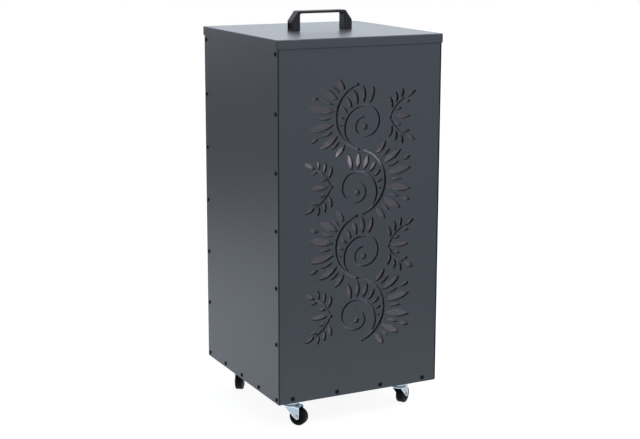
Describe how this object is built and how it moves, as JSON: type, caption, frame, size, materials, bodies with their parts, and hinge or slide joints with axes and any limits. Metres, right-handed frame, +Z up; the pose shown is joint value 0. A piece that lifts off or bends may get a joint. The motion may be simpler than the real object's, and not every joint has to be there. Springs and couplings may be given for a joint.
{
  "type": "pellet storage bin",
  "caption": "Tall square sheet-steel bin on swivel casters with a lift-off lid, a bridge handle and a cut scroll ornament over a clear pane.",
  "frame": {"origin": "middle of the bin's outline on the floor, level with the lowest points of the four wheels", "axes": "+Z up, the front panel with the cut ornament faces -Y, +X to the right of someone who looks at the front"},
  "size_m": [0.3848, 0.3848, 0.868],
  "materials": {
    "anthracite_coat": "fine matt anthracite powder coat on folded sheet steel",
    "clear_pane": "clear glossy pane with a faint smoke tint",
    "gasket_foam": "black closed-cell strip",
    "black_screws": "black button-head screws with a satin coat",
    "handle_plastic": "black moulded plastic with a fine grain",
    "hub_plastic": "black moulded plastic",
    "tread_rubber": "black rubber tread, slightly dusty",
    "zinc_fittings": "bright zinc plating",
    "bright_steel": "turned steel",
    "zinc_plate": "blue-white zinc-plated pressed steel"
  },
  "bodies": {
    "bin": {"base_tray": "anthracite_coat", "front_panel": "anthracite_coat", "rear_panel": "anthracite_coat", "left_side_panel": "anthracite_coat", "right_side_panel": "anthracite_coat", "window_pane": "clear_pane", "pane_gasket": "gasket_foam", "left_pane_retainer": "anthracite_coat", "right_pane_retainer": "anthracite_coat", "lower_pane_retainer": "anthracite_coat", "pane_studs": "zinc_fittings", "pane_nuts": "zinc_fittings", "left_caster_rail": "anthracite_coat", "right_caster_rail": "anthracite_coat", "rail_rivets": "anthracite_coat", "front_screws": "black_screws", "rear_screws": "black_screws", "left_side_screws": "black_screws", "right_side_screws": "black_screws", "front_rivet_nuts": "zinc_fittings", "rear_rivet_nuts": "zinc_fittings", "left_rivet_nuts": "zinc_fittings", "right_rivet_nuts": "zinc_fittings", "caster_bolts": "zinc_fittings", "caster_nuts": "zinc_fittings", "front_left_caster_plate": "zinc_plate", "front_left_kingpin": "bright_steel", "front_left_balls": "bright_steel", "front_right_caster_plate": "zinc_plate", "front_right_kingpin": "bright_steel", "front_right_balls": "bright_steel", "rear_left_caster_plate": "zinc_plate", "rear_left_kingpin": "bright_steel", "rear_left_balls": "bright_steel", "rear_right_caster_plate": "zinc_plate", "rear_right_kingpin": "bright_steel", "rear_right_balls": "bright_steel"},
    "lid": {"lid": "anthracite_coat", "lid_handle": "handle_plastic", "handle_screws": "black_screws", "handle_washers": "zinc_fittings"},
    "front_left_swivel": {"front_left_fork": "zinc_plate", "front_left_axle": "bright_steel"},
    "front_left_wheel": {"front_left_hub": "hub_plastic", "front_left_tread": "tread_rubber"},
    "front_right_swivel": {"front_right_fork": "zinc_plate", "front_right_axle": "bright_steel"},
    "front_right_wheel": {"front_right_hub": "hub_plastic", "front_right_tread": "tread_rubber"},
    "rear_left_swivel": {"rear_left_fork": "zinc_plate", "rear_left_axle": "bright_steel"},
    "rear_left_wheel": {"rear_left_hub": "hub_plastic", "rear_left_tread": "tread_rubber"},
    "rear_right_swivel": {"rear_right_fork": "zinc_plate", "rear_right_axle": "bright_steel"},
    "rear_right_wheel": {"rear_right_hub": "hub_plastic", "rear_right_tread": "tread_rubber"}
  },
  "joints": [
    {"name": "lid_lift", "type": "slide", "parent": "bin", "child": "lid", "axis": [0, 0, 1], "range_m": [0, 0.35]},
    {"name": "front_left_swivel_turn", "type": "hinge", "parent": "bin", "child": "front_left_swivel", "pos_m": [-0.133, -0.133, 0.0435], "axis": [0, 0, 1], "continuous": true},
    {"name": "front_left_wheel_spin", "type": "hinge", "parent": "front_left_swivel", "child": "front_left_wheel", "pos_m": [-0.12217, -0.14738, 0.019], "axis": [0.7986, 0.6018, 0], "continuous": true},
    {"name": "front_right_swivel_turn", "type": "hinge", "parent": "bin", "child": "front_right_swivel", "pos_m": [0.133, -0.133, 0.0435], "axis": [0, 0, 1], "continuous": true},
    {"name": "front_right_wheel_spin", "type": "hinge", "parent": "front_right_swivel", "child": "front_right_wheel", "pos_m": [0.14756, -0.12242, 0.019], "axis": [-0.5878, 0.809, 0], "continuous": true},
    {"name": "rear_left_swivel_turn", "type": "hinge", "parent": "bin", "child": "rear_left_swivel", "pos_m": [-0.133, 0.133, 0.0435], "axis": [0, 0, 1], "continuous": true},
    {"name": "rear_left_wheel_spin", "type": "hinge", "parent": "rear_left_swivel", "child": "rear_left_wheel", "pos_m": [-0.14332, 0.11825, 0.019], "axis": [0.8192, -0.5736, 0], "continuous": true},
    {"name": "rear_right_swivel_turn", "type": "hinge", "parent": "bin", "child": "rear_right_swivel", "pos_m": [0.133, 0.133, 0.0435], "axis": [0, 0, 1], "continuous": true},
    {"name": "rear_right_wheel_spin", "type": "hinge", "parent": "rear_right_swivel", "child": "rear_right_wheel", "pos_m": [0.11631, 0.13974, 0.019], "axis": [-0.3746, -0.9272, 0], "continuous": true}
  ]
}
